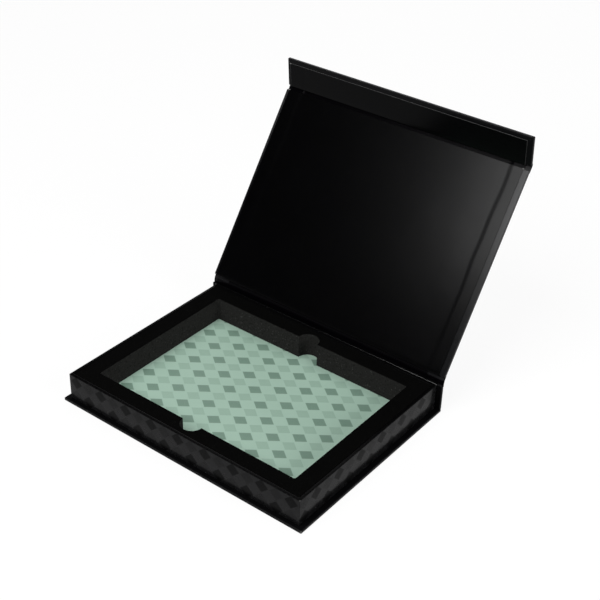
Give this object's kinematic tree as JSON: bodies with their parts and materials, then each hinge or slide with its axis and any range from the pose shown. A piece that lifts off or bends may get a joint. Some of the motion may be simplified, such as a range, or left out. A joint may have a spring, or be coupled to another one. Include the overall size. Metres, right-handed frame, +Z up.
{
  "type": "rigid gift box",
  "caption": "Hinged rigid gift box with a book-style cover, a magnetic front flap, a wrapped tray and a foam insert with a rectangular pocket and thumb notches.",
  "frame": {"origin": "centre of the base panel's underside, which lies on the table", "axes": "+X to the right along the tray's long front, +Y from the closing front to the hinged spine, +Z up. The rest pose is the half-open lid of the picture."},
  "size_m": [0.2494, 0.2956, 0.2136],
  "materials": {
    "grey_board": "matte",
    "black_paper": "satin",
    "black_liner": "satin",
    "tonal_paper": "satin",
    "kraft_tape": "matte",
    "mint_card": "matte",
    "black_foam": "matte",
    "magnet_plate": "satin"
  },
  "bodies": {
    "tray": {"base_wrap": "black_paper", "base_board": "grey_board", "spine_wrap": "black_paper", "spine_board": "grey_board", "spine_liner": "black_liner", "lid_hinge_strip": "black_paper", "tray_floor_board": "grey_board", "tray_front_board": "grey_board", "tray_back_board": "grey_board", "tray_left_board": "grey_board", "tray_right_board": "grey_board", "corner_stay_front_left": "kraft_tape", "corner_stay_front_right": "kraft_tape", "corner_stay_back_left": "kraft_tape", "corner_stay_back_right": "kraft_tape", "front_magnet_left": "magnet_plate", "front_magnet_right": "magnet_plate", "tray_wrap": "tonal_paper", "floor_card": "mint_card", "foam_insert": "black_foam"},
    "lid": {"lid_wrap": "black_paper", "lid_board": "grey_board", "lid_liner": "black_liner", "flap_hinge_strip": "black_paper"},
    "flap": {"flap_wrap": "black_paper", "flap_board": "grey_board", "flap_liner": "black_liner", "flap_magnet_left": "magnet_plate", "flap_magnet_right": "magnet_plate"}
  },
  "joints": [
    {"name": "lid_hinge", "type": "hinge", "parent": "tray", "child": "lid", "pos_m": [0, 0.0945, 0.03055], "axis": [1, 0, 0], "range_deg": [-63.65, 124.35], "deforming": ["lid_hinge_strip"]},
    {"name": "flap_fold", "type": "hinge", "parent": "lid", "child": "flap", "pos_m": [0, 0.20114, 0.18659], "axis": [1, 0, 0], "range_deg": [-39, 51], "deforming": ["flap_hinge_strip"]}
  ]
}
